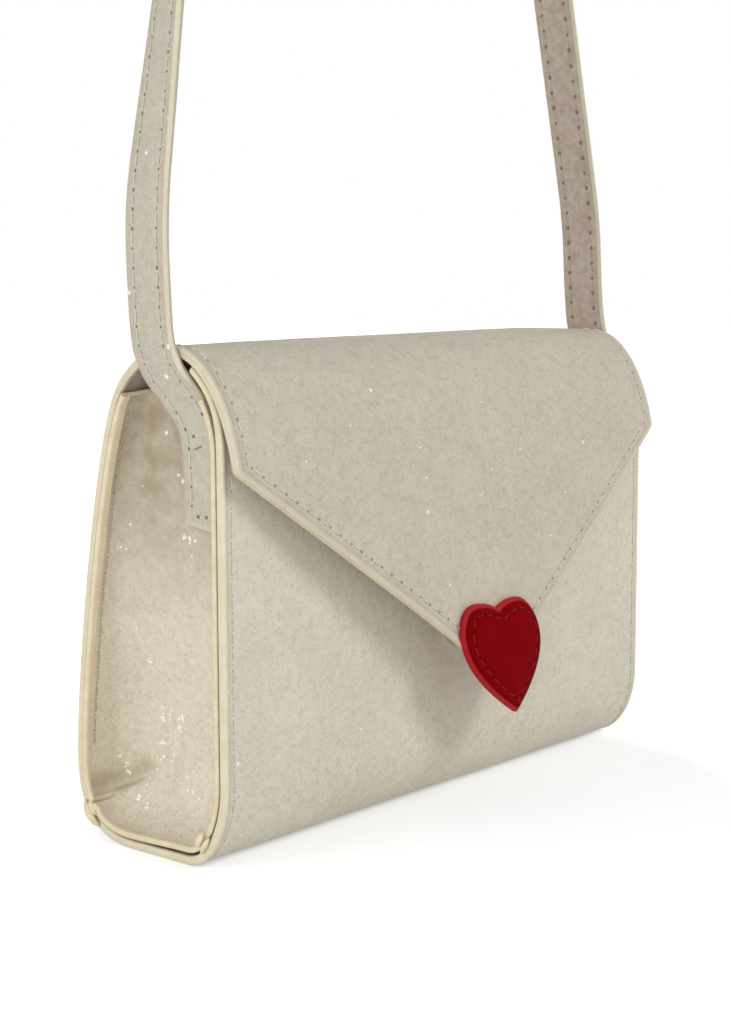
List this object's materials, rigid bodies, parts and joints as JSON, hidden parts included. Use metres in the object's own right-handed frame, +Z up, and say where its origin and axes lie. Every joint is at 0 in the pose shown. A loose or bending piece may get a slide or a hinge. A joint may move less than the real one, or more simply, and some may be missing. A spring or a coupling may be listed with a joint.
{
  "type": "envelope bag",
  "caption": "Small structured shoulder bag in fine glitter fabric, with an envelope flap, a red heart tab on its tip, recessed gussets and a flat stitched strap.",
  "frame": {"origin": "on the ground under the middle of the base, half way along the bag", "axes": "+Z up, +X along the bag's length, -Y is the front with the flap's tip"},
  "size_m": [0.1744, 0.0678, 0.3149],
  "materials": {
    "glitter_sheet": "satin",
    "suede_backing": "matte",
    "stiffener_board": "matte",
    "heart_edge_red": "satin",
    "heart_patent_red": "gloss",
    "snap_metal": "satin",
    "washer_steel": "satin"
  },
  "bodies": {
    "body": {"body_shell": "glitter_sheet", "body_lining": "suede_backing", "front_board": "stiffener_board", "base_board": "stiffener_board", "back_board": "stiffener_board", "gusset_left": "glitter_sheet", "gusset_right": "glitter_sheet", "gusset_lining_left": "suede_backing", "gusset_lining_right": "suede_backing", "strap_tab_left": "glitter_sheet", "strap_tab_right": "glitter_sheet", "strap_tab_backing_left": "suede_backing", "strap_tab_backing_right": "suede_backing", "snap_socket": "snap_metal", "snap_socket_washer": "washer_steel"},
    "flap": {"flap_shell": "glitter_sheet", "flap_lining": "suede_backing", "flap_board": "stiffener_board", "heart_base": "heart_edge_red", "heart_face": "heart_patent_red", "snap_stud": "snap_metal", "snap_stud_washer": "washer_steel"},
    "strap": {"strap_outer": "glitter_sheet", "strap_backing": "suede_backing"}
  },
  "joints": [
    {"name": "flap_fold", "type": "hinge", "parent": "body", "child": "flap", "pos_m": [0, 0.0093, 0.1078], "axis": [-1, 0, 0], "range_deg": [0, 150]},
    {"name": "strap_swing", "type": "hinge", "parent": "body", "child": "strap", "pos_m": [0, -0.0097, 0.107], "axis": [1, 0, 0], "range_deg": [-30, 110], "stiffness_Nm_per_rad": 0.5}
  ]
}
